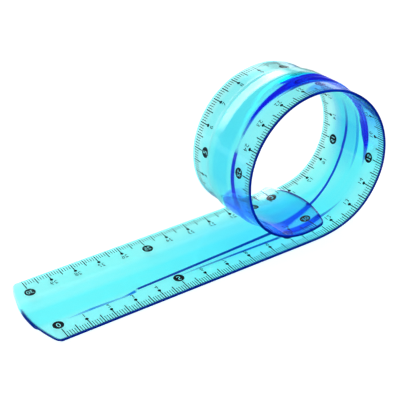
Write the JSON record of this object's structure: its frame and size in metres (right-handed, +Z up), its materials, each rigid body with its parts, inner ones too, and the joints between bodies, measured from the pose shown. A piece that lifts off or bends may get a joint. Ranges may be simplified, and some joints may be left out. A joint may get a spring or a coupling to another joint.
{
  "type": "flexible ruler",
  "caption": "Clear soft plastic ruler with two thin graduated wings and a thicker centre band, lying flat at one end and rolled into one leaning curl at the other.",
  "frame": {"origin": "on the resting face, at the middle of the width, straight below the zero mark of the near scale", "axes": "+X along the tail toward the curl, +Y across the ruler toward the far scale, +Z up from the table"},
  "size_m": [0.1516, 0.044, 0.0628],
  "materials": {
    "clear_blue_vinyl": "clear, pale blue, smooth and glossy"
  },
  "bodies": {
    "root": {"ruler_strip": "clear_blue_vinyl"}
  },
  "joints": []
}
